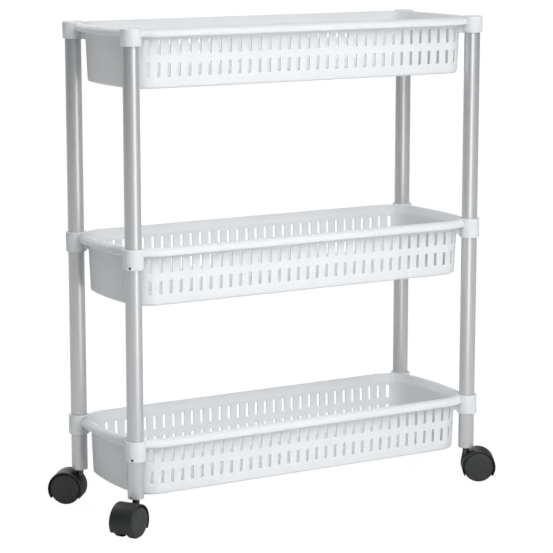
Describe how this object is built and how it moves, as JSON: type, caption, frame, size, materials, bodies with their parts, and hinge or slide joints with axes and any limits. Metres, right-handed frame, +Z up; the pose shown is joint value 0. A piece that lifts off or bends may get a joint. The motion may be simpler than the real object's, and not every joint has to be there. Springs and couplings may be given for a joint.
{
  "type": "rolling pantry cart",
  "caption": "Slim open cart with shallow slotted baskets stacked on four tube posts, each post standing on a swivel twin-wheel caster.",
  "frame": {"origin": "on the floor, under the middle of the four posts", "axes": "+X along the long side, +Y to the back, +Z up"},
  "size_m": [0.5673, 0.2273, 0.609],
  "materials": {
    "white_plastic": "smooth satin polypropylene",
    "silver_tube": "silver-grey satin coated steel tube",
    "black_plastic": "satin black nylon",
    "wheel_plastic": "satin dark grey nylon",
    "dark_steel": "blackened steel",
    "bright_steel": "zinc-plated steel"
  },
  "bodies": {
    "frame": {"bottom_basket": "white_plastic", "middle_basket": "white_plastic", "top_basket": "white_plastic", "front_left_tube": "silver_tube", "front_left_middle_screw": "dark_steel", "front_left_bottom_screw": "dark_steel", "front_left_stem_socket": "black_plastic", "front_right_tube": "silver_tube", "front_right_middle_screw": "dark_steel", "front_right_bottom_screw": "dark_steel", "front_right_stem_socket": "black_plastic", "back_left_tube": "silver_tube", "back_left_middle_screw": "dark_steel", "back_left_bottom_screw": "dark_steel", "back_left_stem_socket": "black_plastic", "back_right_tube": "silver_tube", "back_right_middle_screw": "dark_steel", "back_right_bottom_screw": "dark_steel", "back_right_stem_socket": "black_plastic"},
    "front_left_caster": {"front_left_caster_hood": "black_plastic", "front_left_caster_stem": "dark_steel", "front_left_caster_grip_ring": "bright_steel", "front_left_caster_axle": "bright_steel"},
    "front_left_caster_wheel_a": {"front_left_caster_wheel_a": "wheel_plastic"},
    "front_left_caster_wheel_b": {"front_left_caster_wheel_b": "wheel_plastic"},
    "front_right_caster": {"front_right_caster_hood": "black_plastic", "front_right_caster_stem": "dark_steel", "front_right_caster_grip_ring": "bright_steel", "front_right_caster_axle": "bright_steel"},
    "front_right_caster_wheel_a": {"front_right_caster_wheel_a": "wheel_plastic"},
    "front_right_caster_wheel_b": {"front_right_caster_wheel_b": "wheel_plastic"},
    "back_left_caster": {"back_left_caster_hood": "black_plastic", "back_left_caster_stem": "dark_steel", "back_left_caster_grip_ring": "bright_steel", "back_left_caster_axle": "bright_steel"},
    "back_left_caster_wheel_a": {"back_left_caster_wheel_a": "wheel_plastic"},
    "back_left_caster_wheel_b": {"back_left_caster_wheel_b": "wheel_plastic"},
    "back_right_caster": {"back_right_caster_hood": "black_plastic", "back_right_caster_stem": "dark_steel", "back_right_caster_grip_ring": "bright_steel", "back_right_caster_axle": "bright_steel"},
    "back_right_caster_wheel_a": {"back_right_caster_wheel_a": "wheel_plastic"},
    "back_right_caster_wheel_b": {"back_right_caster_wheel_b": "wheel_plastic"}
  },
  "joints": [
    {"name": "front_left_caster_swivel", "type": "hinge", "parent": "frame", "child": "front_left_caster", "pos_m": [-0.243, -0.07875, 0.05], "axis": [0, 0, 1], "continuous": true},
    {"name": "front_left_caster_wheel_a_spin", "type": "hinge", "parent": "front_left_caster", "child": "front_left_caster_wheel_a", "pos_m": [-0.25691, -0.08744, 0.02], "axis": [0.5299, -0.848, 0], "continuous": true},
    {"name": "front_left_caster_wheel_b_spin", "type": "hinge", "parent": "front_left_caster", "child": "front_left_caster_wheel_b", "pos_m": [-0.25691, -0.08744, 0.02], "axis": [0.5299, -0.848, 0], "continuous": true},
    {"name": "front_right_caster_swivel", "type": "hinge", "parent": "frame", "child": "front_right_caster", "pos_m": [0.243, -0.07875, 0.05], "axis": [0, 0, 1], "continuous": true},
    {"name": "front_right_caster_wheel_a_spin", "type": "hinge", "parent": "front_right_caster", "child": "front_right_caster_wheel_a", "pos_m": [0.25706, -0.0872, 0.02], "axis": [0.515, 0.8572, 0], "continuous": true},
    {"name": "front_right_caster_wheel_b_spin", "type": "hinge", "parent": "front_right_caster", "child": "front_right_caster_wheel_b", "pos_m": [0.25706, -0.0872, 0.02], "axis": [0.515, 0.8572, 0], "continuous": true},
    {"name": "back_left_caster_swivel", "type": "hinge", "parent": "frame", "child": "back_left_caster", "pos_m": [-0.243, 0.07875, 0.05], "axis": [0, 0, 1], "continuous": true},
    {"name": "back_left_caster_wheel_a_spin", "type": "hinge", "parent": "back_left_caster", "child": "back_left_caster_wheel_a", "pos_m": [-0.25556, 0.08929, 0.02], "axis": [-0.6428, -0.766, 0], "continuous": true},
    {"name": "back_left_caster_wheel_b_spin", "type": "hinge", "parent": "back_left_caster", "child": "back_left_caster_wheel_b", "pos_m": [-0.25556, 0.08929, 0.02], "axis": [-0.6428, -0.766, 0], "continuous": true},
    {"name": "back_right_caster_swivel", "type": "hinge", "parent": "frame", "child": "back_right_caster", "pos_m": [0.243, 0.07875, 0.05], "axis": [0, 0, 1], "continuous": true},
    {"name": "back_right_caster_wheel_a_spin", "type": "hinge", "parent": "back_right_caster", "child": "back_right_caster_wheel_a", "pos_m": [0.25691, 0.08744, 0.02], "axis": [-0.5299, 0.848, 0], "continuous": true},
    {"name": "back_right_caster_wheel_b_spin", "type": "hinge", "parent": "back_right_caster", "child": "back_right_caster_wheel_b", "pos_m": [0.25691, 0.08744, 0.02], "axis": [-0.5299, 0.848, 0], "continuous": true}
  ]
}
